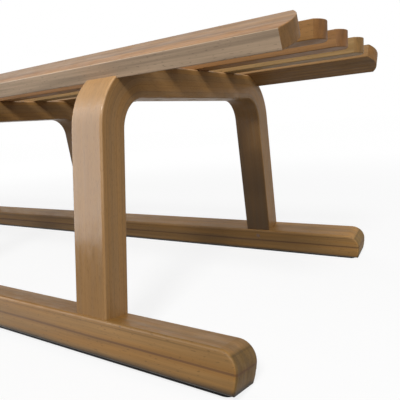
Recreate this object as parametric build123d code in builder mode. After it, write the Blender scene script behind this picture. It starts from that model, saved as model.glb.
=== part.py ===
"""A slatted bentwood sled: two shod runners, three laminated bows, five seat slats and a front crossbar.

Frame: +X is the direction of travel, +Y is the rider's left, +Z is up. The origin is on the ground, under
the middle of the sled. All sizes are in millimetres.
"""
import os
from math import cos, radians, sin, tan

from build123d import *

# ---- Driving dimensions -------------------------------------------------------------------------------

# Seat
seat_length = 1100.0  # end to end of the slats, which is the sled's whole length
slat_width = 23.5  # the three level slats
slat_pitch = 54.0  # centre to centre of the level slats, across the sled
outer_slat_width = 28.8
outer_slat_tilt = 27.2  # degrees, outer edge down
outer_slat_offset = 6.8  # middle of an outer slat, up the slope from the middle of the round shoulder
slat_thickness = 13.0
slat_end_rise = 5.2  # how far a slat's round end stands out past its corners
slat_edge_radius = 0.8

# Runners
track_width = 335.0  # over the soles' outer corners
runner_width = 29.4
runner_depth = 26.8  # sole to top, and front to back where the runner stands up at the tip
runner_cant = 11.3  # degrees that each runner leans in, so that it rides on its strip's inner edge
rear_overhang = 22.7  # seat past the runners' rear noses
front_overhang = 12.0  # seat past the runners' front faces
tip_upright = 27.6  # straight stretch of a runner between its curve and the crossbar
nose_radius = 13.0  # upper corner of the runner's rear end
nose_undercut = 2.0  # how far the lower corner lies ahead of the nose
runner_edge_radius = 2.0

# Steel strips
strip_thickness = 2.4
strip_width = 22.5
strip_end_radius = 5.0
strip_rear_setback = 5.5  # from the nose to the strip's rear end
strip_front_angle = 72.0  # degrees of the sole's front curve that the strip follows

# Bows
bow_underside = 187.8  # above the ground
bow_thickness = 25.2
bow_width = 30.2  # along the sled
bow_outer_radius = 51.5
shoulder_notch_depth = 3.0  # cut into the middle of the round shoulder to seat an outer slat
shoulder_notch_clearance = 0.3  # beside the slat
leg_splay = 7.1  # degrees out of the vertical
rear_bow_setback = 120.3  # nose to the middle of the rear bow
bow_spacing = 295.8
bow_edge_radius = 1.6

# Joints
tenon_width = 22.0  # along the sled
tenon_thickness = 11.0  # across the sled
tenon_length = 20.0
tip_tenon_length = 9.0
tenon_clearance = 0.1
mortise_bottom_gap = 1.0
pin_radius = 2.5
pin_clearance = 0.05
pin_cover = 5.0  # wood left between a pin's blind end and the outer face
pin_depth_below_top = 7.5

# Front crossbar
crossbar_end_overhang = 3.0  # past the tips' outer faces
crossbar_shoulder_gap = 2.0  # from the outer slat's lower edge to the level shoulder
crossbar_edge_radius = 2.0
tip_pin_radius = 2.0
tip_pin_rise = 5.0  # above the crossbar's underside

# Rope holes, one through each runner tip
rope_hole_radius = 5.0
rope_hole_drop = 30.0  # below the tip's top

# ---- Derived sizes and places -------------------------------------------------------------------------

tilt = radians(outer_slat_tilt)
splay = radians(leg_splay)
cant = radians(runner_cant)
sides = {"left": 1, "right": -1}

# A runner's foot is the middle of its strip's underside, whose inner edge rests on the ground.
foot_y = track_width / 2 - runner_width / 2 * cos(cant) + strip_thickness * sin(cant)
foot_z = strip_width / 2 * sin(cant)
# Heights along the leaning runner, from its foot.
runner_top = strip_thickness + runner_depth
tip_top = (bow_underside - foot_z) / cos(cant)
# The middle of the runner's top and of its tip.
top_y = foot_y - runner_top * sin(cant)
top_z = foot_z + runner_top * cos(cant)
tip_y = foot_y - tip_top * sin(cant)

sole_curve_radius = tip_top - strip_thickness - tip_upright
nose_x = -seat_length / 2 + rear_overhang
tip_front_x = seat_length / 2 - front_overhang
tip_x = tip_front_x - runner_depth / 2
curve_x = tip_front_x - sole_curve_radius
curve_height = strip_thickness + sole_curve_radius
bow_top = bow_underside + bow_thickness
bow_xs = [nose_x + rear_bow_setback + i * bow_spacing for i in range(3)]
leg_section = bow_thickness / cos(splay)  # a leg's thickness, measured level


def leg_outer_y(z):
    """Y of the bows' outer leg faces at a height. The legs stand over the middle of the runners' tops."""
    return top_y + leg_section / 2 - (z - top_z) * tan(splay)


# The round shoulder of a bow touches the bow's top and the leg's outer face.
shoulder_z = bow_top - bow_outer_radius
shoulder_y = leg_outer_y(shoulder_z) - bow_outer_radius / cos(splay)

# An outer slat lies in a notch cut square to its tilt.
seat_radius = bow_outer_radius - shoulder_notch_depth
outer_slat_base = (
    shoulder_y + seat_radius * sin(tilt) - outer_slat_offset * cos(tilt),
    shoulder_z + seat_radius * cos(tilt) + outer_slat_offset * sin(tilt),
)


def write(part, name):
    """Label a finished piece and write it."""
    part.label = name
    export_step(part, f"parts/{name}.step")


def runner_plane(side, offset=0):
    """The plane in which a runner is bent, moved outward by an offset.

    Its origin is under the middle of the sled, at the runner's foot. Local X is +X, and local Y goes up
    the leaning runner.
    """
    outward = Vector(0, side * cos(cant), sin(cant))
    foot = Vector(0, side * foot_y, foot_z)
    return Plane(foot + outward * offset, x_dir=(1, 0, 0), z_dir=outward * -side)


def leaning_plane(x, side, y, z, lean):
    """A plane at a point on one side, with its normal up and leaning in. Local X is +X."""
    return Plane((x, side * y, z), x_dir=(1, 0, 0), z_dir=(0, -side * sin(lean), cos(lean)))


def outer_slat_plane(side):
    """The underside of an outer slat. The left one is the right one turned half round."""
    return Plane(
        origin=(0, side * outer_slat_base[0], outer_slat_base[1]),
        x_dir=(-side, 0, 0),
        z_dir=(0, side * sin(tilt), cos(tilt)),
    )


os.makedirs("parts", exist_ok=True)

# ---- Runners ------------------------------------------------------------------------------------------

nose_mid = runner_top - nose_radius
pin_height = runner_top - pin_depth_below_top
pin_length = runner_width - pin_cover
tip_blank = tip_top + runner_width  # the tip is bent longer than needed and cut off level
tip_pin_y = tip_y - tip_pin_rise * tan(cant)
tip_pin_z = bow_underside + tip_pin_rise

# One bent runner lying on its side on the XY plane; both are alike.
with BuildPart() as bent_runner:
    with BuildSketch():
        with BuildLine():
            Line((nose_x + nose_undercut, strip_thickness), (curve_x, strip_thickness))
            CenterArc((curve_x, curve_height), sole_curve_radius, 270, 90)
            Polyline(
                (tip_front_x, curve_height),
                (tip_front_x, tip_blank),
                (tip_front_x - runner_depth, tip_blank),
                (tip_front_x - runner_depth, curve_height),
            )
            CenterArc((curve_x, curve_height), sole_curve_radius - runner_depth, 270, 90)
            Line((curve_x, runner_top), (nose_x + nose_radius, runner_top))
            nose = CenterArc((nose_x + nose_radius, nose_mid), nose_radius, 90, 90)
            TangentArc(nose @ 1, (nose_x + nose_undercut, strip_thickness), tangent=(0, -1))
        make_face()
    extrude(amount=runner_width / 2, both=True)
    fillet(bent_runner.faces().filter_by(Axis.Z).edges(), runner_edge_radius)

for side_name, side in sides.items():
    with BuildPart() as runner:
        with Locations(runner_plane(side)):
            add(bent_runner.part)
        split(bisect_by=Plane.XY.offset(bow_underside), keep=Keep.BOTTOM)
        # Mortises for the bow legs.
        with BuildSketch(leaning_plane(0, side, top_y, top_z, splay)):
            with Locations(*[(x, 0) for x in bow_xs]):
                Rectangle(tenon_width + 2 * tenon_clearance, tenon_thickness + 2 * tenon_clearance)
        extrude(amount=tenon_length + mortise_bottom_gap, both=True, mode=Mode.SUBTRACT)
        # The tip's own tenon, which goes up into the crossbar.
        with BuildSketch(leaning_plane(tip_x, side, tip_y, bow_underside, cant)):
            Rectangle(tenon_width, tenon_thickness)
        extrude(amount=tip_tenon_length, both=True)
        # Blind pin holes from the inner face.
        with BuildSketch(runner_plane(side, -runner_width / 2)):
            with Locations(*[(x, pin_height) for x in bow_xs]):
                Circle(pin_radius + pin_clearance)
        extrude(amount=-side * pin_length, mode=Mode.SUBTRACT)
        # Pin hole across the tip's tenon.
        with BuildSketch(Plane.YZ.offset(tip_x)):
            with Locations((side * tip_pin_y, tip_pin_z)):
                Circle(tip_pin_radius + pin_clearance)
        extrude(amount=runner_depth, both=True, mode=Mode.SUBTRACT)
        # Rope hole through the tip.
        with BuildSketch(runner_plane(side)):
            with Locations((tip_x, tip_top - rope_hole_drop)):
                Circle(rope_hole_radius)
        extrude(amount=runner_width, both=True, mode=Mode.SUBTRACT)
    write(runner.part, f"{side_name}_runner")

# ---- Steel strips -------------------------------------------------------------------------------------

strip_start_x = nose_x + strip_rear_setback
strip_outer_radius = sole_curve_radius + strip_thickness
strip_end_angle = radians(strip_front_angle)


def on_front_curve(radius):
    """The point at the front end of the strip, at a distance from the curve's centre."""
    return (curve_x + radius * sin(strip_end_angle), curve_height - radius * cos(strip_end_angle))


for side_name, side in sides.items():
    with BuildPart() as strip:
        with BuildSketch(runner_plane(side)):
            with BuildLine():
                Line((strip_start_x, 0), (curve_x, 0))
                CenterArc((curve_x, curve_height), strip_outer_radius, 270, strip_front_angle)
                Line(on_front_curve(strip_outer_radius), on_front_curve(sole_curve_radius))
                CenterArc((curve_x, curve_height), sole_curve_radius, 270, strip_front_angle)
                Line((curve_x, strip_thickness), (strip_start_x, strip_thickness))
                Line((strip_start_x, strip_thickness), (strip_start_x, 0))
            make_face()
        extrude(amount=strip_width / 2, both=True)
        corners = strip.edges().filter_by(lambda e: abs(e.length - strip_thickness) < 0.01)
        fillet(corners, strip_end_radius)
    write(strip.part, f"{side_name}_runner_strip")

# ---- Bows ---------------------------------------------------------------------------------------------


def arch(depth):
    """A bow outline's open path, at a depth under its outer face: up one leg, over and down the other."""
    top = bow_top - depth
    shift = depth / cos(splay)
    base_y = leg_outer_y(0) - shift
    corner_y = leg_outer_y(top) - shift
    corners = ((-base_y, 0), (-corner_y, top), (corner_y, top), (base_y, 0))
    return FilletPolyline(*corners, radius=bow_outer_radius - depth)


for bow_name, bow_x in zip(("rear", "middle", "front"), bow_xs):
    with BuildPart() as bow:
        with BuildSketch(Plane.YZ.offset(bow_x)):
            with BuildLine():
                outer = arch(0)
                Line(outer @ 1, outer @ 0)
            make_face()
            with BuildLine():
                inner = arch(bow_thickness)
                Line(inner @ 1, inner @ 0)
            make_face(mode=Mode.SUBTRACT)
        extrude(amount=bow_width / 2, both=True)
        rims = bow.faces().filter_by(Axis.X).edges().filter_by(lambda e: e.center().Z > 0.01)
        fillet(rims, bow_edge_radius)
        for side in sides.values():
            # The leg is cut off along the runner's top.
            split(bisect_by=leaning_plane(0, side, top_y, top_z, cant), keep=Keep.TOP)
            # The notch in the round shoulder for the outer slat.
            with BuildSketch(outer_slat_plane(side)):
                with Locations((-side * bow_x, 0)):
                    Rectangle(2 * bow_width, outer_slat_width + 2 * shoulder_notch_clearance)
            extrude(amount=slat_thickness, mode=Mode.SUBTRACT)
            # The tenon under the leg.
            with BuildSketch(leaning_plane(bow_x, side, top_y, top_z, splay)):
                Rectangle(tenon_width, tenon_thickness)
            extrude(amount=tenon_length, both=True)
            # The pin hole across the tenon.
            with BuildSketch(runner_plane(side)):
                with Locations((bow_x, pin_height)):
                    Circle(pin_radius + pin_clearance)
            extrude(amount=runner_width, both=True, mode=Mode.SUBTRACT)
    write(bow.part, f"{bow_name}_bow")

    for side_name, side in sides.items():
        with BuildPart() as pin:
            with BuildSketch(runner_plane(side, -runner_width / 2)):
                with Locations((bow_x, pin_height)):
                    Circle(pin_radius)
            extrude(amount=-side * pin_length)
        write(pin.part, f"{bow_name}_{side_name}_leg_pin")

# ---- Seat slats ---------------------------------------------------------------------------------------

slat_corner_x = seat_length / 2 - slat_end_rise
slat_places = {
    "left_outer": (outer_slat_plane(1), outer_slat_width),
    "left_inner": (Plane((0, slat_pitch, bow_top)), slat_width),
    "centre": (Plane((0, 0, bow_top)), slat_width),
    "right_inner": (Plane((0, -slat_pitch, bow_top)), slat_width),
    "right_outer": (outer_slat_plane(-1), outer_slat_width),
}


def flat_slat(width):
    """A slat of a width lying on the XY plane, with round ends and eased edges."""
    half = width / 2
    with BuildPart() as flat:
        with BuildSketch():
            with BuildLine():
                Line((-slat_corner_x, -half), (slat_corner_x, -half))
                ThreePointArc((slat_corner_x, -half), (seat_length / 2, 0), (slat_corner_x, half))
                Line((slat_corner_x, half), (-slat_corner_x, half))
                ThreePointArc((-slat_corner_x, half), (-seat_length / 2, 0), (-slat_corner_x, -half))
            make_face()
        extrude(amount=slat_thickness)
        fillet(flat.faces().filter_by(Axis.Z).edges(), slat_edge_radius)
    return flat.part


for slat_name, (place, width) in slat_places.items():
    with BuildPart() as slat:
        with Locations(place):
            add(flat_slat(width))
    write(slat.part, f"{slat_name}_slat")

# ---- Front crossbar -----------------------------------------------------------------------------------

crossbar_end_y = tip_y + runner_width / 2 / cos(cant) + crossbar_end_overhang
slope_start_y = outer_slat_base[0] - (bow_top - outer_slat_base[1]) / tan(tilt)
slope_end_y = outer_slat_base[0] + outer_slat_width / 2 * cos(tilt) + crossbar_shoulder_gap
slope_end_z = bow_top - (slope_end_y - slope_start_y) * tan(tilt)

with BuildPart() as crossbar:
    with BuildSketch(Plane.YZ.offset(tip_x)):
        with BuildLine():
            Polyline(
                (-crossbar_end_y, bow_underside),
                (crossbar_end_y, bow_underside),
                (crossbar_end_y, slope_end_z),
                (slope_end_y, slope_end_z),
                (slope_start_y, bow_top),
                (-slope_start_y, bow_top),
                (-slope_end_y, slope_end_z),
                (-crossbar_end_y, slope_end_z),
                close=True,
            )
        make_face()
    extrude(amount=runner_depth / 2, both=True)
    long_edges = crossbar.edges().filter_by(Axis.Y).filter_by(lambda e: e.length > slat_pitch)
    fillet(long_edges, crossbar_edge_radius)
    for side in sides.values():
        # The mortise for the runner's tip, from below.
        with BuildSketch(leaning_plane(tip_x, side, tip_y, bow_underside, cant)):
            Rectangle(tenon_width + 2 * tenon_clearance, tenon_thickness + 2 * tenon_clearance)
        extrude(amount=tip_tenon_length + mortise_bottom_gap, both=True, mode=Mode.SUBTRACT)
        # The pin hole across the tenon.
        with BuildSketch(Plane.YZ.offset(tip_x)):
            with Locations((side * tip_pin_y, tip_pin_z)):
                Circle(tip_pin_radius + pin_clearance)
        extrude(amount=runner_depth, both=True, mode=Mode.SUBTRACT)
write(crossbar.part, "front_crossbar")

for side_name, side in sides.items():
    with BuildPart() as pin:
        with BuildSketch(Plane.YZ.offset(tip_x)):
            with Locations((side * tip_pin_y, tip_pin_z)):
                Circle(tip_pin_radius)
        extrude(amount=runner_depth / 2, both=True)
    write(pin.part, f"{side_name}_tip_pin")
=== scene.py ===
"""The looks of the wooden sled: lacquered beech, glued bows and runners, dark steel strips and screws."""
import math
from collections import namedtuple
from functools import partial

import bmesh
import bpy
from mathutils import Matrix, Vector


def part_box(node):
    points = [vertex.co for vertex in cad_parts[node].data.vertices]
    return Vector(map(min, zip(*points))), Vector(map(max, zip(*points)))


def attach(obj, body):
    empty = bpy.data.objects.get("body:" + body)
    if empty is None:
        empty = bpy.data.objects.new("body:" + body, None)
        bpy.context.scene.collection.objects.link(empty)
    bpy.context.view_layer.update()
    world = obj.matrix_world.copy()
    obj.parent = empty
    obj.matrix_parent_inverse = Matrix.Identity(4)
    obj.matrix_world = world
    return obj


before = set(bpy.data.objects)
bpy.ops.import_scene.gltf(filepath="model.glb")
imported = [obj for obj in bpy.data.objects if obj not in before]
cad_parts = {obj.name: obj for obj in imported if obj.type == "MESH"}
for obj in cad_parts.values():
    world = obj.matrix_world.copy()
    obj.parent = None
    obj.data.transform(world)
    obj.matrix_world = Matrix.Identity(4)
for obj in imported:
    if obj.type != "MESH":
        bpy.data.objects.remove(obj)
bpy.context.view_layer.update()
scene = bpy.context.scene


def middle_x(node):
    """The middle of a CAD node along the sled, in mm."""
    low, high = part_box(node)
    return 500 * (low.x + high.x)


# Places from the frame, in mm.
BOW_XS = {node: middle_x(node) for node in ("rear_bow", "middle_bow", "front_bow")}
CROSSBAR_X = middle_x("front_crossbar")
BOW_UNDERSIDE = 1000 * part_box("front_crossbar")[0].z   # the bows' and the crossbar's are level

# The sled's other sizes, in mm and degrees, as the CAD has them.
RUNNER_CANT = 11.3                         # how far the runners lean over
FOOT_Y, FOOT_Z = 153.555, 2.204            # middle of a strip's underside
RUNNER_DEPTH = 26.8
SOLE_RADIUS = 159.265                      # bend of the wood's sole at the front
CURVE_X, CURVE_HEIGHT = 378.735, 161.665   # middle of that bend
NOSE_X = -527.3                            # rear ends of the runners
BOW_SPLAY = 7.1                            # how far a leg leans over
SHOULDER_Y, SHOULDER_Z = 92.357, 161.5     # middle of a bow's bend
BOW_RADIUS, BOW_THICKNESS = 51.5, 25.2
BOW_LAYERS = 5
BOW_WIDTH = 30.2
OUTER_SLAT_TILT = 27.2
OUTER_SLAT_WIDTH = 28.8
SLAT_THICKNESS = 13.0
OUTER_SLAT_BASE = (108.478, 207.745)       # y and z on the outer slat's underside
SLAT_PITCH = 54.0

# Beech tones, linear red, green and blue.
BEECH = (0.270, 0.148, 0.052)
RUNNER_TONES = {
    "left_runner": (0.238, 0.124, 0.034),
    # Painted light: the right runner is lighter than the left, to make up for the shade on its inner face.
    "right_runner": (0.345, 0.188, 0.060),
}
SLAT_TONES = {
    "left_outer_slat": (0.270, 0.158, 0.078),
    "left_inner_slat": (0.252, 0.119, 0.029),
    "centre_slat": (0.265, 0.128, 0.040),
    "right_inner_slat": (0.300, 0.178, 0.062),
    "right_outer_slat": (0.275, 0.150, 0.052),
}
OUTER_SLAT_PAINTED_SHEEN = (0.500, 0.360, 0.240)    # their outer sides, painted paler and greyer as painted sheen and bounced light
GLUE_STAIN = (0.085, 0.034, 0.012)
# Painted shade along the runners' soles, above the strips.
SOLE_SHADE_COLOUR = (0.016, 0.014, 0.011)

# Marks in the wood: how long, wide and deep they are along the grain, in mm.
BAND, STREAK, FINE_LINE = (260, 11, 11), (95, 2.6, 2.6), (34, 0.55, 0.55)
FLECK, WARM_PATCH, SHEEN_PATCH = (3.4, 0.6, 0.8), (150, 6, 6), (14, 5, 5)
END_RING, END_PORE = (400, 3.2, 14), (400, 0.5, 0.5)


# ---------------------------------------------------------------- material nodes

class Nodes:
    """A new material, and short calls that add and link its nodes."""

    def __init__(self, name):
        self.material = bpy.data.materials.new(name)
        self.material.use_nodes = True
        self.tree = self.material.node_tree
        self.shader = self.tree.nodes["Principled BSDF"]

    def put(self, kind, inputs=(), output=0, **settings):
        """Adds a node with these settings and inputs, and gives one of its outputs."""
        node = self.tree.nodes.new("ShaderNode" + kind)
        for name, value in settings.items():
            setattr(node, name, value)
        pairs = inputs.items() if isinstance(inputs, dict) else enumerate(inputs)
        for key, value in pairs:
            self.feed(node.inputs[key], value)
        return node.outputs[output]

    def feed(self, socket, value):
        """Links an output to the socket, or sets a plain value on it."""
        if isinstance(value, bpy.types.NodeSocket):
            self.tree.links.new(value, socket)
        else:
            socket.default_value = value

    def math(self, operation, *values, clamp=False):
        return self.put("Math", values, operation=operation, use_clamp=clamp)

    def add(self, *values):
        total = values[0]
        for value in values[1:]:
            total = self.math("ADD", total, value)
        return total

    def times(self, *values):
        total = values[0]
        for value in values[1:]:
            total = self.math("MULTIPLY", total, value)
        return total

    def turned(self, a, b, degrees):
        """The part of (a, b) along a direction this many degrees from a's towards b's."""
        turn = math.radians(degrees)
        return self.add(self.times(a, math.cos(turn)), self.times(b, math.sin(turn)))

    def fade(self, value, low, high, at_low=0.0, at_high=1.0):
        """Goes smoothly from at_low to at_high as value goes from low to high."""
        inputs = {"Value": value, "From Min": low, "From Max": high, "To Min": at_low, "To Max": at_high}
        return self.put("MapRange", inputs, interpolation_type="SMOOTHSTEP")

    def spread(self, noise, low, high):
        """Goes from low to high over the range where most of a noise lies."""
        return self.fade(noise, 0.3, 0.7, low, high)

    def place(self):
        """x, y and z on the sled in mm."""
        mm = self.put("VectorMath", {0: self.coords("Object"), "Scale": 1000.0}, operation="SCALE")
        return self.split(mm)

    def normal(self):
        return self.split(self.coords("Normal"))

    def coords(self, name):
        return self.put("TexCoord", output=name)

    def split(self, vector):
        return [self.put("SeparateXYZ", [vector], output=axis) for axis in range(3)]

    def noise(self, grain, size, shift=0.0, detail=2.0, roughness=0.5):
        """Noise whose marks are this long, wide and deep, in mm."""
        scaled = self.put(
            "VectorMath",
            [grain, tuple(1.0 / s for s in size), (shift, 1.7 * shift, 0.6 * shift)],
            operation="MULTIPLY_ADD",
        )
        inputs = {"Vector": scaled, "Detail": detail, "Roughness": roughness, "Scale": 1.0}
        return self.put("TexNoise", inputs)

    def blend(self, factor, first, second):
        """The first colour where factor is 0, and the second where it is 1."""
        inputs = {"Factor": factor, 6: first, 7: second}
        return self.put("Mix", inputs, output=2, data_type="RGBA")

    def scaled(self, colour, factor):
        return self.put("VectorMath", {0: colour, "Scale": factor}, operation="SCALE")


def tint(tone, red, green, blue):
    """A tone with its red, green and blue each multiplied."""
    return (tone[0] * red, tone[1] * green, tone[2] * blue, 1.0)


Grain = namedtuple("Grain", "along across through shade warmth end polish stain dirt pale")
PLAIN = {"shade": 1.0, "warmth": 0.0, "end": 0.0, "polish": 0.0, "stain": 0.0, "dirt": 0.0, "pale": 0.0}


def wood(name, grain_of, tone, shift=0.0, bands=0.12, streaks=0.10, flecks=0.30, fleck_share=0.69,
         fine_lines=0.065, roughness=0.45, gloss=0.25, painted_sheen_tone=None, end_tint=(1.00, 0.88, 0.70)):
    """Lacquered beech.

    grain_of(nodes) gives a Grain: places in mm, and what the piece adds to plain wood. shift moves the
    marks. bands, streaks, flecks and fine_lines say how much each kind of mark lightens or darkens the
    wood, and fleck_share how high the noise has to be for a fleck. The side tone is for an outer slat's
    side, painted paler and greyer as painted sheen and bounced light.
    """
    n = Nodes(name)
    g = grain_of(n)
    grain = n.put("CombineXYZ", [g.along, g.across, g.through])
    wide = n.spread(n.noise(grain, BAND, shift, 1), 1 - bands, 1 + bands)
    streak = n.spread(n.noise(grain, STREAK, shift + 11), 1 - streaks, 1 + streaks)
    fine = n.spread(n.noise(grain, FINE_LINE, shift + 23), 1 - fine_lines, 1 + fine_lines)
    fleck_noise = n.noise(grain, FLECK, shift + 37, 0)
    fleck = n.fade(fleck_noise, fleck_share, fleck_share + 0.09, 1.0, 1 - flecks)
    warm_patch = n.fade(n.noise(grain, WARM_PATCH, shift + 51, 1), 0.35, 0.65)
    warm = n.math("ADD", warm_patch, g.warmth, clamp=True)
    colour = n.blend(warm, tint(tone, 0.99, 1.01, 1.10), tint(tone, 1.03, 0.97, 0.84))
    # Painted light: on the bows the pale mask paints a highlight along the long edges and light on the
    # bends.
    colour = n.blend(g.pale, colour, tint(tone, 1.25, 1.35, 1.80))
    if painted_sheen_tone:
        edge = OUTER_SLAT_WIDTH / 2
        top = n.fade(g.through, SLAT_THICKNESS - 1.4, SLAT_THICKNESS - 0.6)
        peach = n.times(n.fade(g.across, edge - 11.4, edge - 6.9), top)
        colour = n.blend(n.times(peach, 0.75), colour, tint(tone, 1.22, 0.98, 0.62))
        # Painted sheen: an outer slat's side takes the paler, greyer side tone, standing in for sheen and
        # bounced light.
        colour = n.blend(n.fade(g.across, edge - 0.5, edge - 0.1), colour, tint(painted_sheen_tone, 1, 1, 1))
    side_shade = n.times(wide, streak, fine, fleck)
    # End grain is browner, with rings across it and pores as dots.
    rings = n.fade(n.noise(grain, END_RING, shift + 67), 0.35, 0.65, 0.80, 1.08)
    pores = n.fade(n.noise(grain, END_PORE, shift + 71, 0), 0.55, 0.72, 1.0, 0.80)
    end_shade = n.times(rings, pores, 0.70)
    shade = n.put("Mix", {"Factor": g.end, 2: side_shade, 3: end_shade}, data_type="FLOAT")
    end_colour = n.blend(g.end, colour, tint(tone, *end_tint))
    clean = n.scaled(end_colour, n.times(shade, g.shade))
    glued = n.blend(g.stain, clean, tint(GLUE_STAIN, 1, 1, 1))
    # Painted shade: the runners' wood is darkened along the sole, above the strips.
    n.feed(n.shader.inputs["Base Color"], n.blend(g.dirt, glued, tint(SOLE_SHADE_COLOUR, 1, 1, 1)))
    sheen = n.spread(n.noise(grain, SHEEN_PATCH, shift + 83), roughness - 0.05, roughness + 0.07)
    n.feed(n.shader.inputs["Roughness"], n.add(sheen, n.times(g.end, 0.16), n.times(g.polish, -0.27)))
    n.shader.inputs["Specular IOR Level"].default_value = gloss
    height = n.add(n.times(streak, 0.5), n.times(fine, 0.6), n.times(fleck, 0.5))
    bump = n.put("Bump", {"Strength": 0.22, "Distance": 0.0002, "Height": height})
    n.feed(n.shader.inputs["Normal"], bump)
    return n.material


def underside(n):
    """Less polish on faces that look down, where the lacquer is thin and dull."""
    return n.fade(n.normal()[2], -0.85, -0.70, -0.5, 0.0)


def end_face(n, axis):
    """1 on faces that look along this axis of the sled, 0 on those that look across it."""
    return n.fade(n.math("ABSOLUTE", n.normal()[axis]), 0.55, 0.85)


def slat_grain(n):
    """Level slats: the grain runs fore and aft."""
    x, y, z = n.place()
    return Grain(x, y, z, **PLAIN | {"end": end_face(n, 0), "polish": underside(n)})


def outer_slat_grain(n):
    """Tilted slats: the same, with across and through turned with the slat."""
    x, y, z = n.place()
    out = n.math("SUBTRACT", n.math("ABSOLUTE", y), OUTER_SLAT_BASE[0])
    up = n.math("SUBTRACT", z, OUTER_SLAT_BASE[1])
    across = n.turned(out, up, -OUTER_SLAT_TILT)
    through = n.turned(out, up, 90 - OUTER_SLAT_TILT)
    return Grain(x, across, through, **PLAIN | {"end": end_face(n, 0), "polish": underside(n)})


def crossbar_grain(n):
    """The crossbar: the grain runs from side to side."""
    x, y, z = n.place()
    return Grain(y, x, z, **PLAIN | {"end": end_face(n, 1)})


def line(n, distance, width):
    """1 on a line this wide where distance is 0, and 0 off it."""
    return n.fade(n.math("ABSOLUTE", distance), width * 0.5, width * 1.1, 1.0, 0.0)


def bow_grain(n, middle):
    """Bows: glued layers that follow the bend, with thin glue lines between them. middle is the bow's x."""
    x, y, z = n.place()
    # Depth under the outer face, angle round the shoulder and length along the layers.
    dy = n.math("SUBTRACT", n.math("ABSOLUTE", y), SHOULDER_Y)
    dz = n.math("SUBTRACT", z, SHOULDER_Z)
    angle = n.math("ARCTAN2", dz, dy)
    angle = n.math("MINIMUM", n.math("MAXIMUM", angle, math.radians(BOW_SPLAY)), math.radians(90))
    reach = n.add(n.times(dy, n.math("COSINE", angle)), n.times(dz, n.math("SINE", angle)))
    depth = n.math("SUBTRACT", BOW_RADIUS, reach)
    bend = n.times(n.math("SUBTRACT", math.radians(90), angle), BOW_RADIUS - BOW_THICKNESS / 2)
    down = n.math("MAXIMUM", n.turned(dy, dz, BOW_SPLAY - 90), 0.0)
    along = n.add(n.math("MINIMUM", n.math("ABSOLUTE", y), SHOULDER_Y), bend, down)
    along = n.times(along, n.math("SIGN", y))
    # Each layer has a tone of its own, and glue lines lie between the layers.
    layer = n.times(depth, BOW_LAYERS / BOW_THICKNESS)
    index = n.math("FLOOR", n.math("MINIMUM", n.math("MAXIMUM", layer, 0.0), BOW_LAYERS - 0.01))
    tone = n.put("TexWhiteNoise", {"W": n.add(index, 3.0)}, noise_dimensions="1D", output="Value")
    nearest = n.math("SUBTRACT", layer, n.math("ROUND", layer))
    inside = n.times(n.fade(layer, 0.4, 0.6), n.fade(layer, BOW_LAYERS - 0.6, BOW_LAYERS - 0.4, 1.0, 0.0))
    glue = n.times(line(n, nearest, 0.06), inside)
    layers = n.times(n.fade(tone, 0.0, 1.0, 0.92, 1.05), n.math("SUBTRACT", 1.0, n.times(glue, 0.20)))
    # Painted light: the outer face is painted lighter and paler at the bend, and lighter higher up, where
    # more light falls on it.
    outer = n.fade(depth, 0.4, 1.2, 1.0, 0.0)
    painted_light_at_bend = n.fade(n.times(outer, angle), 0.15, 0.75, 1.0, 1.30)
    painted_light_high_up = n.fade(n.times(outer, z), 60, 125, 1.0, 1.12)
    bent = n.fade(n.times(outer, angle), 0.20, 0.60)
    # Painted highlight: its long edges on the outer face are painted pale, less so near the foot.
    aside = n.math("ABSOLUTE", n.add(x, -middle))
    at_edge = n.fade(aside, BOW_WIDTH / 2 - 1.8, BOW_WIDTH / 2 - 0.8)
    painted_edge_highlight = n.times(at_edge, n.fade(depth, 0.7, 1.7, 1.0, 0.0), n.fade(z, 85, 130, 0.25, 1.0))
    # Painted shade: the inner face is painted darker lower down, where it is in shade under the seat.
    inner = n.fade(depth, BOW_THICKNESS - 1.2, BOW_THICKNESS - 0.4)
    painted_inner_shade = n.math("SUBTRACT", 1.0, n.times(inner, n.fade(z, 80, 165, 0.60, 0.0)))
    # Only the leg's foot and tenon, which face down, show end grain.
    foot = n.fade(n.math("MULTIPLY", n.normal()[2], -1.0), 0.93, 0.98)
    under_tone = n.times(n.add(tone, -0.5), n.math("SUBTRACT", 1.0, outer))
    extras = {
        "shade": n.times(layers, painted_light_at_bend, painted_light_high_up, painted_inner_shade),
        "warmth": n.add(under_tone, n.times(outer, 0.5)),
        "end": n.times(foot, n.fade(z, 35, 45, 1.0, 0.0)),
        "polish": n.times(outer, n.fade(bent, 0.0, 1.0, 1.15, 0.35)),
        "pale": n.math("MAXIMUM", painted_edge_highlight, n.times(bent, 0.55)),
    }
    return Grain(n.add(along, n.times(index, 71.0)), x, depth, **PLAIN | extras)


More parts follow.
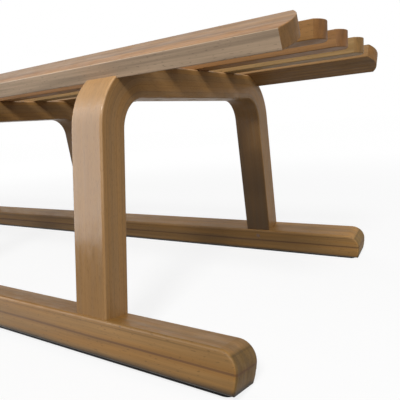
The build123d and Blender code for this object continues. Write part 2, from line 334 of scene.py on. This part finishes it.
def runner_grain(n):
    """Runners: two glued layers that follow the curve, with a reddish glue line between them."""
    x, y, z = n.place()
    # Across and up in the leaning runner, then depth above the sole and length along it.
    out = n.math("SUBTRACT", n.math("ABSOLUTE", y), FOOT_Y)
    up = n.math("SUBTRACT", z, FOOT_Z)
    across = n.turned(out, up, RUNNER_CANT)
    height = n.turned(out, up, RUNNER_CANT + 90)
    ahead = n.math("MAXIMUM", n.math("SUBTRACT", x, CURVE_X), 0.0)
    below = n.math("MAXIMUM", n.math("SUBTRACT", CURVE_HEIGHT, height), 0.0)
    radius = n.math("SQRT", n.add(n.times(ahead, ahead), n.times(below, below)))
    depth = n.math("SUBTRACT", SOLE_RADIUS, radius)
    bend = n.times(n.math("ARCTAN2", ahead, below), SOLE_RADIUS - RUNNER_DEPTH / 2)
    rise = n.math("MAXIMUM", n.math("SUBTRACT", height, CURVE_HEIGHT), 0.0)
    along = n.add(n.math("MINIMUM", x, CURVE_X), bend, rise)
    grain = n.put("CombineXYZ", [along, across, depth])
    # The glue line wanders a little about the middle.
    wander = n.times(n.math("SUBTRACT", n.noise(grain, (120, 60, 60), 5), 0.5), 1.4)
    from_glue = n.add(depth, wander, -RUNNER_DEPTH / 2)
    glue = n.add(n.times(line(n, from_glue, 0.9), 0.55), n.times(line(n, from_glue, 2.6), 0.18))
    # Painted shade: a thin dark line just under the rounded top edge.
    under_edge = n.times(line(n, n.add(depth, -(RUNNER_DEPTH - 3.4)), 0.6), 0.24)
    upper = n.fade(from_glue, -0.3, 0.3, 0.97, 1.03)
    # Painted shade: the wood is darkened along its sole, in a wandering band above the strip.
    sole_shade_band = n.add(depth, n.times(n.noise(grain, (60, 6, 6), 8), -3.0))
    at_nose = n.fade(x, NOSE_X + 21.3, NOSE_X + 27.3, 1.0, 0.0)
    extras = {
        "shade": n.times(upper, n.math("SUBTRACT", 1.0, under_edge)),
        "end": n.times(at_nose, n.fade(n.math("ABSOLUTE", n.normal()[0]), 0.45, 0.75)),
        "stain": glue,
        "dirt": n.fade(sole_shade_band, -1.2, 3.4, 0.92, 0.0),
    }
    return Grain(along, across, depth, **PLAIN | extras)


def dowel(name):
    """The pins' ends: darker end grain."""
    n = Nodes(name)
    place = n.put("CombineXYZ", n.place())
    rings = n.fade(n.noise(place, (0.9, 9, 9), 3), 0.35, 0.65, 0.82, 1.10)
    pores = n.fade(n.noise(place, (0.3, 0.3, 0.3), 9, 0), 0.58, 0.72, 1.0, 0.80)
    colour = n.blend(n.noise(place, (4, 4, 4), 5), (0.17, 0.082, 0.034, 1.0), (0.21, 0.108, 0.050, 1.0))
    n.feed(n.shader.inputs["Base Color"], n.scaled(colour, n.times(rings, pores)))
    n.feed(n.shader.inputs["Roughness"], n.fade(rings, 0.8, 1.1, 0.52, 0.44))
    n.shader.inputs["Coat Weight"].default_value = 0.25
    n.shader.inputs["Coat Roughness"].default_value = 0.25
    return n.material


def strip_steel(name):
    """Dark rolled steel with mill scale, worn bright in long scratches on the sole."""
    n = Nodes(name)
    place = n.put("CombineXYZ", n.place())
    cloud = n.spread(n.noise(place, (22, 12, 12), 2, 4, 0.6), 0.0, 1.0)
    scratch = n.fade(n.noise(place, (70, 0.35, 4), 7, 3), 0.55, 0.70)
    sole = n.fade(n.normal()[2], -0.90, -0.60, 1.0, 0.0)
    worn = n.times(scratch, n.add(n.times(sole, 0.55), 0.03))
    colour = n.blend(cloud, (0.004, 0.004, 0.004, 1.0), (0.011, 0.010, 0.008, 1.0))
    n.feed(n.shader.inputs["Base Color"], n.blend(worn, colour, (0.30, 0.29, 0.28, 1.0)))
    n.feed(n.shader.inputs["Roughness"], n.add(n.fade(cloud, 0.0, 1.0, 0.50, 0.64), n.times(worn, -0.16)))
    n.feed(n.shader.inputs["Metallic"], n.add(n.times(worn, 0.7), n.times(cloud, 0.10)))
    n.shader.inputs["Specular IOR Level"].default_value = 0.10
    height = n.add(cloud, n.times(scratch, -0.5))
    bump = n.put("Bump", {"Strength": 0.15, "Distance": 0.0001, "Height": height})
    n.feed(n.shader.inputs["Normal"], bump)
    return n.material


def screw_steel(name):
    """Yellow-passivated screw heads, browned in patches."""
    n = Nodes(name)
    place = n.put("CombineXYZ", n.place())
    patch = n.noise(place, (1.6, 1.6, 1.6), 4, 3)
    colour = n.blend(patch, (0.150, 0.105, 0.055, 1.0), (0.230, 0.170, 0.100, 1.0))
    n.feed(n.shader.inputs["Base Color"], colour)
    n.feed(n.shader.inputs["Roughness"], n.spread(patch, 0.40, 0.54))
    n.shader.inputs["Metallic"].default_value = 1.0
    return n.material


def dress(node, material):
    """Gives a CAD node this material."""
    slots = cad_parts[node].data.materials
    slots.clear()
    slots.append(material)


# Each wooden piece has its own shift, so that no two have the same grain.
OUTER_SLAT_FINISH = {
    "painted_sheen_tone": OUTER_SLAT_PAINTED_SHEEN, "gloss": 0.30, "bands": 0.09, "streaks": 0.20,
    "end_tint": (1.00, 0.84, 0.48),
}
RUNNER_FINISH = {"flecks": 0.40, "fleck_share": 0.71, "end_tint": (0.86, 0.92, 0.92)}
BOW_FINISH = {"bands": 0.04, "streaks": 0.04, "flecks": 0.12, "fleck_share": 0.60, "fine_lines": 0.025}
for position, (node, tone) in enumerate(SLAT_TONES.items()):
    outer_slat = "outer" in node
    grain_of = outer_slat_grain if outer_slat else slat_grain
    finish = OUTER_SLAT_FINISH if outer_slat else {}
    dress(node, wood("beech_" + node, grain_of, tone, shift=3.1 * position, **finish))
for position, (node, tone) in enumerate(RUNNER_TONES.items()):
    dress(node, wood("beech_" + node, runner_grain, tone, shift=2.0 + 5.3 * position, **RUNNER_FINISH))
for position, (node, middle) in enumerate(BOW_XS.items()):
    grain_of = partial(bow_grain, middle=middle)
    dress(node, wood("beech_" + node, grain_of, BEECH, shift=7.0 + 4.1 * position, **BOW_FINISH))
dress("front_crossbar", wood("beech_crossbar", crossbar_grain, BEECH, shift=19.0))
pin_finish = dowel("dowel_end_grain")
strip_finish = strip_steel("strip_steel")
screw_finish = screw_steel("screw_steel")
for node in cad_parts:
    if "pin" in node:
        dress(node, pin_finish)
    if "strip" in node:
        dress(node, strip_finish)


# ---------------------------------------------------------------- screws

CROSSBAR_SCREW_Y = 94.0                    # the outer slats' screws, clear of the tips' tenons
STRIP_SCREW_START, STRIP_SCREW_PITCH = -500.0, 124.0
HEAD_RADIUS = 4.0
HEAD_TOP = 0.52
ARM, ARM_HALF = 2.0, 0.45                  # length and half width of the cross recess's arms
PIT_SHRINK, PIT_HEIGHT = 0.72, 0.06        # how much smaller the recess's floor is, and its height
# One arm's three corners, then the same turned by a quarter each time.
ARM_CORNERS = ((ARM, -ARM_HALF), (ARM, ARM_HALF), (ARM_HALF, ARM_HALF))
QUARTERS = ((1, 0), (0, 1), (-1, 0), (0, -1))
CROSS = [(u * c - v * s, u * s + v * c) for c, s in QUARTERS for u, v in ARM_CORNERS]
SPOKES_A_CORNER = 4
HEAD_SPOKES = SPOKES_A_CORNER * len(CROSS)
# Radius and height of each ring, from the hidden tip of the countersink up over the rim.
HEAD_RINGS = (
    (1.6, -2.2), (HEAD_RADIUS, -0.15), (HEAD_RADIUS, 0.05), (3.85, 0.16), (3.3, 0.30), (2.6, 0.41),
)


def screw_mesh(name):
    """A raised countersunk head with a tapered cross recess, in mm, facing +Z."""
    bm = bmesh.new()
    rings = []
    for radius, height in HEAD_RINGS:
        turns = [2 * math.pi * i / HEAD_SPOKES for i in range(HEAD_SPOKES)]
        rings.append([bm.verts.new((radius * math.cos(t), radius * math.sin(t), height)) for t in turns])
    bm.faces.new(rings[0][::-1])
    for low, high in zip(rings, rings[1:]):
        for i in range(HEAD_SPOKES):
            j = (i + 1) % HEAD_SPOKES
            bm.faces.new((low[i], low[j], high[j], high[i])).smooth = low is not rings[0]
    lip = [bm.verts.new((u, v, HEAD_TOP - 0.02 * math.hypot(u, v))) for u, v in CROSS]
    pit = [bm.verts.new((PIT_SHRINK * u, PIT_SHRINK * v, PIT_HEIGHT)) for u, v in CROSS]
    top = rings[-1]
    for i in range(len(CROSS)):
        j = (i + 1) % len(CROSS)
        # The ring's corners from beside this corner of the cross to beside the next.
        spokes = [top[(SPOKES_A_CORNER * i - 2 + k) % HEAD_SPOKES] for k in range(SPOKES_A_CORNER + 1)]
        for near, corners in ((lip[i], spokes[:3]), (lip[j], spokes[2:])):
            for first, second in zip(corners, corners[1:]):
                bm.faces.new((near, first, second)).smooth = True
        bm.faces.new((lip[i], spokes[2], lip[j])).smooth = True
        bm.faces.new((lip[i], lip[j], pit[j], pit[i]))
    bm.faces.new(pit)
    mesh = bpy.data.meshes.new(name)
    bm.to_mesh(mesh)
    bm.free()
    return mesh


def add_screw(name, place, facing, turn):
    """One screw with its head at this place in mm, its recess turned by this many degrees."""
    mesh = screw_mesh(name)
    stand = Vector(facing).to_track_quat("Z", "Y").to_matrix().to_4x4()
    spin = Matrix.Rotation(math.radians(turn), 4, "Z")
    mesh.transform(Matrix.Scale(0.001, 4) @ Matrix.Translation(place) @ stand @ spin)
    mesh.materials.append(screw_finish)
    piece = bpy.data.objects.new(name, mesh)
    scene.collection.objects.link(piece)
    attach(piece, "root")


def add_slat_screws():
    """From below: the level slats are screwed to the bows, and all five slats to the crossbar."""
    under_slats = [SLAT_PITCH * step for step in (-1, 0, 1)]
    rows = [(node, x, under_slats) for node, x in BOW_XS.items()]
    rows.append(("crossbar", CROSSBAR_X, under_slats + [-CROSSBAR_SCREW_Y, CROSSBAR_SCREW_Y]))
    for name, x, row in rows:
        for count, y in enumerate(row):
            place = (x, y, BOW_UNDERSIDE)
            add_screw(f"screw_{name}_{count + 1}", place, (0.0, 0.0, -1.0), turn=37 * count + 0.2 * x)


def add_strip_screws():
    """Along each strip's underside and up its curve."""
    cant = math.radians(RUNNER_CANT)
    straight = [(STRIP_SCREW_START + STRIP_SCREW_PITCH * step, 0.0) for step in range(8)]
    curved = [(CURVE_X, math.radians(angle)) for angle in (22, 45, 67)]
    for side, side_name in ((1, "left"), (-1, "right")):
        for count, (x, angle) in enumerate(straight + curved):
            height = CURVE_HEIGHT * (1 - math.cos(angle))
            place = (
                x + CURVE_HEIGHT * math.sin(angle),
                side * (FOOT_Y - height * math.sin(cant)),
                FOOT_Z + height * math.cos(cant),
            )
            down = math.cos(angle)
            facing = (math.sin(angle), side * down * math.sin(cant), -down * math.cos(cant))
            add_screw(f"screw_{side_name}_strip_{count + 1}", place, facing, turn=53 * count)


add_slat_screws()
add_strip_screws()


# ---------------------------------------------------------------- camera

CAMERA_PLACE = (-0.64123, 0.37463, 0.16515)     # metres
CAMERA_ANGLES = (-54.8289, -10.6006, -4.6776)   # yaw, pitch and roll
CAMERA_LENS = 40.557
CAMERA_SHIFT = (0.0625, 0.025)


def add_camera():
    """The photograph's camera, low at the sled's rear left."""
    data = bpy.data.cameras.new("camera")
    camera = bpy.data.objects.new("camera", data)
    scene.collection.objects.link(camera)
    yaw, pitch, roll = (math.radians(a) for a in CAMERA_ANGLES)
    ahead = Vector((math.cos(yaw) * math.cos(pitch), math.sin(yaw) * math.cos(pitch), math.sin(pitch)))
    level = ahead.cross(Vector((0, 0, 1))).normalized()
    raised = level.cross(ahead)
    right = math.cos(roll) * level + math.sin(roll) * raised
    up = math.cos(roll) * raised - math.sin(roll) * level
    turn = Matrix((right, up, -ahead)).transposed().to_4x4()
    turn.translation = Vector(CAMERA_PLACE)
    camera.matrix_world = turn
    data.sensor_width = 36
    data.lens = CAMERA_LENS
    data.shift_x, data.shift_y = CAMERA_SHIFT
    data.clip_start = 0.01
    data.clip_end = 100
    scene.camera = camera


add_camera()


# ---------------------------------------------------------------- light, floor and background

def add_lamp(name, towards, distance, size, power, target=(-0.35, 0.0, 0.12)):
    """A soft lamp this wide and high, in this direction from the target, with power in watts."""
    data = bpy.data.lights.new(name, "AREA")
    data.shape = "RECTANGLE"
    data.size, data.size_y = size
    data.energy = power
    lamp = bpy.data.objects.new(name, data)
    scene.collection.objects.link(lamp)
    way = Vector(towards).normalized()
    lamp.location = Vector(target) + way * distance
    lamp.rotation_euler = way.to_track_quat("Z", "Y").to_euler()
    return lamp


def seen_rays(tree):
    """1 for camera, glossy and transmission rays, 0 for the rest."""
    path = tree.nodes.new("ShaderNodeLightPath")
    total = None
    for name in ("Is Camera Ray", "Is Glossy Ray", "Is Transmission Ray"):
        socket = path.outputs[name]
        if total is None:
            total = socket
            continue
        either = tree.nodes.new("ShaderNodeMath")
        either.operation = "MAXIMUM"
        tree.links.new(total, either.inputs[0])
        tree.links.new(socket, either.inputs[1])
        total = either.outputs[0]
    return total


def add_world(strength):
    """White to the camera and in reflections, and this strong as light."""
    world = bpy.data.worlds.new("studio")
    scene.world = world
    world.use_nodes = True
    tree = world.node_tree
    background = tree.nodes["Background"]
    background.inputs["Color"].default_value = (1.0, 1.0, 1.0, 1.0)
    level = tree.nodes.new("ShaderNodeMapRange")
    level.inputs["To Min"].default_value = strength
    level.inputs["To Max"].default_value = 1.0
    tree.links.new(seen_rays(tree), level.inputs["Value"])
    tree.links.new(level.outputs[0], background.inputs["Strength"])


FLOOR_HALF = 12.0


def add_floor(shown_white, albedo):
    """A wide pale floor, nearly white where it's seen, with the sled's soft shadow.

    shown_white is how much of what is seen near the sled is plain white, and albedo is how much light
    the floor throws back on it.
    """
    mesh = bpy.data.meshes.new("floor")
    corners = [(FLOOR_HALF * u, FLOOR_HALF * v, 0) for u, v in ((-1, -1), (1, -1), (1, 1), (-1, 1))]
    mesh.from_pydata(corners, [], [(0, 1, 2, 3)])
    floor = bpy.data.objects.new("floor", mesh)
    scene.collection.objects.link(floor)
    n = Nodes("floor")
    tree = n.tree
    tree.nodes.remove(n.shader)
    place = n.put("CombineXYZ", n.place())
    speck = n.spread(n.noise(place, (40, 40, 40), 0, 3), 0.98, 1.0)
    diffuse = tree.nodes.new("ShaderNodeBsdfDiffuse")
    seen = seen_rays(tree)
    pale = n.put("MapRange", {"Value": seen, "To Min": albedo, "To Max": 0.95})
    tree.links.new(n.times(pale, speck), diffuse.inputs["Color"])
    glow = tree.nodes.new("ShaderNodeEmission")
    glow.inputs["Color"].default_value = (1.0, 1.0, 1.0, 1.0)
    glow.inputs["Strength"].default_value = 1.0
    mixed = tree.nodes.new("ShaderNodeMixShader")
    away = n.math("MULTIPLY", n.put("VectorMath", [place], operation="LENGTH", output="Value"), 0.001)
    tree.links.new(n.times(seen, n.fade(away, 0.5, 1.6, shown_white, 0.995)), mixed.inputs["Fac"])
    tree.links.new(diffuse.outputs[0], mixed.inputs[1])
    tree.links.new(glow.outputs[0], mixed.inputs[2])
    tree.links.new(mixed.outputs[0], tree.nodes["Material Output"].inputs["Surface"])
    mesh.materials.append(n.material)


add_world(0.20)
add_floor(0.85, 0.24)
add_lamp("key", (-0.25, 0.70, 0.62), 2.2, (0.45, 0.45), 36)
add_lamp("back_box", (-1.00, 0.15, 0.30), 2.5, (1.5, 1.5), 19)
# A fill for the front and the right side, kept out of the lacquer's reflections.
fill = add_lamp("fill", (0.65, -0.72, 0.15), 2.6, (1.6, 1.2), 30)
fill.visible_glossy = False
# A low card that only glints in the lacquer of the near legs.
glint = add_lamp("glint_card", (0.78, 0.62, 0.00), 1.25, (1.0, 1.3), 23, target=(-0.41, 0.15, 0.66))
glint.visible_diffuse = False

scene.view_settings.view_transform = "Standard"
